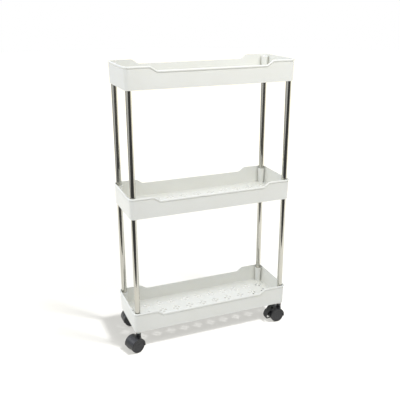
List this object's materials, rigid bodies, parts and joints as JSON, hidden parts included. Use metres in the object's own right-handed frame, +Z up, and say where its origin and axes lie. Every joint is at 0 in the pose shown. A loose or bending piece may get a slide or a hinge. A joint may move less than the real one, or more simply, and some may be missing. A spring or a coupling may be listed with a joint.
{
  "type": "rolling pantry cart",
  "caption": "Narrow rolling cart with three perforated white trays on polished tube legs and swivelling twin-wheel casters, for storage between kitchen units.",
  "frame": {"origin": "on the floor, under the middle of the cart", "axes": "+Z up, +X along the cart's length to its right, -Y its front"},
  "size_m": [0.4436, 0.1702, 0.664],
  "materials": {
    "tray_plastic": "white moulded polypropylene, satin with a fine moulded grain",
    "leg_tube": "polished thin-walled steel tube",
    "plug_plastic": "black moulded nylon",
    "cap_plastic": "white moulded plastic, satin",
    "socket_plastic": "off-white moulded nylon",
    "caster_plastic": "charcoal moulded nylon with a soft sheen",
    "wheel_plastic": "charcoal hard nylon, smooth tread with light scuffs",
    "brake_plastic": "black moulded nylon",
    "caster_steel": "zinc-plated turned steel",
    "spring_steel": "oiled spring steel"
  },
  "bodies": {
    "frame": {"bottom_tray": "tray_plastic", "middle_tray": "tray_plastic", "top_tray": "tray_plastic", "lower_leg_front_left": "leg_tube", "lower_leg_front_right": "leg_tube", "lower_leg_back_left": "leg_tube", "lower_leg_back_right": "leg_tube", "upper_leg_front_left": "leg_tube", "upper_leg_front_right": "leg_tube", "upper_leg_back_left": "leg_tube", "upper_leg_back_right": "leg_tube", "leg_joiner_front_left": "plug_plastic", "leg_joiner_front_right": "plug_plastic", "leg_joiner_back_left": "plug_plastic", "leg_joiner_back_right": "plug_plastic", "leg_cap_front_left": "cap_plastic", "leg_cap_front_right": "cap_plastic", "leg_cap_back_left": "cap_plastic", "leg_cap_back_right": "cap_plastic", "caster_socket_front_left": "socket_plastic", "caster_socket_front_right": "socket_plastic", "caster_socket_back_left": "socket_plastic", "caster_socket_back_right": "socket_plastic"},
    "caster_front_left": {"caster_hood_front_left": "caster_plastic", "caster_stem_front_left": "caster_steel", "stem_ring_front_left": "spring_steel", "axle_front_left": "caster_steel"},
    "outer_wheel_front_left": {"outer_wheel_front_left": "wheel_plastic"},
    "inner_wheel_front_left": {"inner_wheel_front_left": "wheel_plastic"},
    "caster_front_right": {"caster_hood_front_right": "caster_plastic", "caster_stem_front_right": "caster_steel", "stem_ring_front_right": "spring_steel", "axle_front_right": "caster_steel", "brake_pin_front_right": "caster_steel"},
    "outer_wheel_front_right": {"outer_wheel_front_right": "wheel_plastic"},
    "inner_wheel_front_right": {"inner_wheel_front_right": "wheel_plastic"},
    "brake_lever_front_right": {"brake_lever_front_right": "brake_plastic"},
    "caster_back_left": {"caster_hood_back_left": "caster_plastic", "caster_stem_back_left": "caster_steel", "stem_ring_back_left": "spring_steel", "axle_back_left": "caster_steel", "brake_pin_back_left": "caster_steel"},
    "outer_wheel_back_left": {"outer_wheel_back_left": "wheel_plastic"},
    "inner_wheel_back_left": {"inner_wheel_back_left": "wheel_plastic"},
    "brake_lever_back_left": {"brake_lever_back_left": "brake_plastic"},
    "caster_back_right": {"caster_hood_back_right": "caster_plastic", "caster_stem_back_right": "caster_steel", "stem_ring_back_right": "spring_steel", "axle_back_right": "caster_steel"},
    "outer_wheel_back_right": {"outer_wheel_back_right": "wheel_plastic"},
    "inner_wheel_back_right": {"inner_wheel_back_right": "wheel_plastic"}
  },
  "joints": [
    {"name": "swivel_front_left", "type": "hinge", "parent": "frame", "child": "caster_front_left", "pos_m": [-0.1885, -0.06, 0.045], "axis": [0, 0, 1], "continuous": true},
    {"name": "outer_wheel_spin_front_left", "type": "hinge", "parent": "caster_front_left", "child": "outer_wheel_front_left", "pos_m": [-0.19843, -0.06342, 0.0174], "axis": [-0.3256, 0.9455, 0], "continuous": true},
    {"name": "inner_wheel_spin_front_left", "type": "hinge", "parent": "caster_front_left", "child": "inner_wheel_front_left", "pos_m": [-0.19843, -0.06342, 0.0174], "axis": [-0.3256, 0.9455, 0], "continuous": true},
    {"name": "swivel_front_right", "type": "hinge", "parent": "frame", "child": "caster_front_right", "pos_m": [0.1885, -0.06, 0.045], "axis": [0, 0, 1], "continuous": true},
    {"name": "outer_wheel_spin_front_right", "type": "hinge", "parent": "caster_front_right", "child": "outer_wheel_front_right", "pos_m": [0.178, -0.06, 0.0174], "axis": [0, 1, 0], "continuous": true},
    {"name": "inner_wheel_spin_front_right", "type": "hinge", "parent": "caster_front_right", "child": "inner_wheel_front_right", "pos_m": [0.178, -0.06, 0.0174], "axis": [0, 1, 0], "continuous": true},
    {"name": "brake_lift_front_right", "type": "hinge", "parent": "caster_front_right", "child": "brake_lever_front_right", "pos_m": [0.1675, -0.06, 0.0279], "axis": [0, 1, 0], "range_deg": [0, 15]},
    {"name": "swivel_back_left", "type": "hinge", "parent": "frame", "child": "caster_back_left", "pos_m": [-0.1885, 0.06, 0.045], "axis": [0, 0, 1], "continuous": true},
    {"name": "outer_wheel_spin_back_left", "type": "hinge", "parent": "caster_back_left", "child": "outer_wheel_back_left", "pos_m": [-0.178, 0.06, 0.0174], "axis": [0, -1, 0], "continuous": true},
    {"name": "inner_wheel_spin_back_left", "type": "hinge", "parent": "caster_back_left", "child": "inner_wheel_back_left", "pos_m": [-0.178, 0.06, 0.0174], "axis": [0, -1, 0], "continuous": true},
    {"name": "brake_lift_back_left", "type": "hinge", "parent": "caster_back_left", "child": "brake_lever_back_left", "pos_m": [-0.1675, 0.06, 0.0279], "axis": [0, -1, 0], "range_deg": [0, 15]},
    {"name": "swivel_back_right", "type": "hinge", "parent": "frame", "child": "caster_back_right", "pos_m": [0.1885, 0.06, 0.045], "axis": [0, 0, 1], "continuous": true},
    {"name": "outer_wheel_spin_back_right", "type": "hinge", "parent": "caster_back_right", "child": "outer_wheel_back_right", "pos_m": [0.19843, 0.06342, 0.0174], "axis": [0.3256, -0.9455, 0], "continuous": true},
    {"name": "inner_wheel_spin_back_right", "type": "hinge", "parent": "caster_back_right", "child": "inner_wheel_back_right", "pos_m": [0.19843, 0.06342, 0.0174], "axis": [0.3256, -0.9455, 0], "continuous": true}
  ]
}
